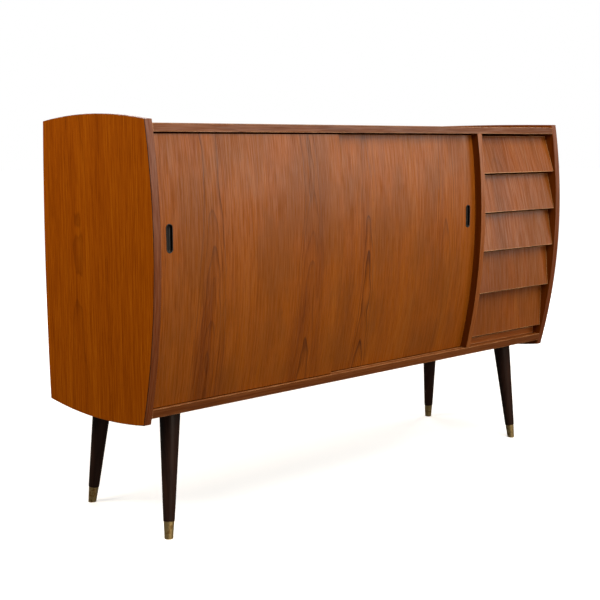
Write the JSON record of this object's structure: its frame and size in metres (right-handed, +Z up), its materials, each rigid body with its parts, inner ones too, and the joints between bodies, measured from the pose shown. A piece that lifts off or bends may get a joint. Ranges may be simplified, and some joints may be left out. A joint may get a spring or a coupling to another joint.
{
  "type": "sideboard",
  "caption": "Long bow-fronted sideboard with curved sliding doors, a bank of louvred drawers at one end, and splayed tapered legs.",
  "frame": {"origin": "on the floor, midway along the overall width and the overall depth", "axes": "+X along the length from the door end to the drawer end, -Y out of the front, +Z up"},
  "size_m": [1.6, 0.5207, 1.0664],
  "materials": {
    "teak_end_veneer": "satin oiled teak veneer, vertical grain",
    "teak_door_veneer": "satin oiled teak veneer, vertical figured grain",
    "teak_drawer_veneer": "satin oiled teak veneer, vertical grain",
    "teak_board_veneer": "satin oiled teak, grain along the length",
    "birch_plywood": "plain matt plywood",
    "inner_veneer": "plain matt veneer",
    "drawer_wood": "plain matt solid beech",
    "stained_leg_wood": "dark stained, satin lacquer",
    "aged_brass": "brushed and tarnished",
    "plain_brass": "plain",
    "zinc_steel": "zinc plated",
    "black_plastic": "satin moulded"
  },
  "bodies": {
    "carcass": {"left_end_panel": "teak_end_veneer", "right_end_panel": "teak_end_veneer", "top_board": "teak_board_veneer", "bottom_board": "teak_board_veneer", "divider": "teak_board_veneer", "partition": "inner_veneer", "cabinet_back": "birch_plywood", "drawer_bay_back": "birch_plywood", "drawer_rail": "teak_drawer_veneer", "left_shelf": "inner_veneer", "right_shelf": "inner_veneer", "shelf_pins": "plain_brass", "left_runners": "drawer_wood", "right_runners": "drawer_wood", "front_left_leg": "stained_leg_wood", "front_right_leg": "stained_leg_wood", "rear_left_leg": "stained_leg_wood", "rear_right_leg": "stained_leg_wood", "front_left_ferrule": "aged_brass", "front_right_ferrule": "aged_brass", "rear_left_ferrule": "aged_brass", "rear_right_ferrule": "aged_brass", "leg_bolts": "zinc_steel", "leg_inserts": "zinc_steel", "carcass_dowels": "drawer_wood", "back_screws": "plain_brass"},
    "front_door": {"front_door": "teak_door_veneer", "front_door_pull": "black_plastic"},
    "rear_door": {"rear_door": "teak_door_veneer", "rear_door_pull": "black_plastic"},
    "drawer_1": {"drawer_1_front": "teak_drawer_veneer", "drawer_1_left_side": "drawer_wood", "drawer_1_right_side": "drawer_wood", "drawer_1_back": "drawer_wood", "drawer_1_bottom": "birch_plywood"},
    "drawer_2": {"drawer_2_front": "teak_drawer_veneer", "drawer_2_left_side": "drawer_wood", "drawer_2_right_side": "drawer_wood", "drawer_2_back": "drawer_wood", "drawer_2_bottom": "birch_plywood"},
    "drawer_3": {"drawer_3_front": "teak_drawer_veneer", "drawer_3_left_side": "drawer_wood", "drawer_3_right_side": "drawer_wood", "drawer_3_back": "drawer_wood", "drawer_3_bottom": "birch_plywood"},
    "drawer_4": {"drawer_4_front": "teak_drawer_veneer", "drawer_4_left_side": "drawer_wood", "drawer_4_right_side": "drawer_wood", "drawer_4_back": "drawer_wood", "drawer_4_bottom": "birch_plywood"},
    "drawer_5": {"drawer_5_front": "teak_drawer_veneer", "drawer_5_left_side": "drawer_wood", "drawer_5_right_side": "drawer_wood", "drawer_5_back": "drawer_wood", "drawer_5_bottom": "birch_plywood"}
  },
  "joints": [
    {"name": "front_door_slide", "type": "slide", "parent": "carcass", "child": "front_door", "axis": [1, 0, 0], "range_m": [0, 0.5755]},
    {"name": "rear_door_slide", "type": "slide", "parent": "carcass", "child": "rear_door", "axis": [-1, 0, 0], "range_m": [0, 0.5755]},
    {"name": "drawer_1_slide", "type": "slide", "parent": "carcass", "child": "drawer_1", "axis": [0, -1, 0], "range_m": [0, 0.32]},
    {"name": "drawer_2_slide", "type": "slide", "parent": "carcass", "child": "drawer_2", "axis": [0, -1, 0], "range_m": [0, 0.32]},
    {"name": "drawer_3_slide", "type": "slide", "parent": "carcass", "child": "drawer_3", "axis": [0, -1, 0], "range_m": [0, 0.32]},
    {"name": "drawer_4_slide", "type": "slide", "parent": "carcass", "child": "drawer_4", "axis": [0, -1, 0], "range_m": [0, 0.32]},
    {"name": "drawer_5_slide", "type": "slide", "parent": "carcass", "child": "drawer_5", "axis": [0, -1, 0], "range_m": [0, 0.32]}
  ]
}
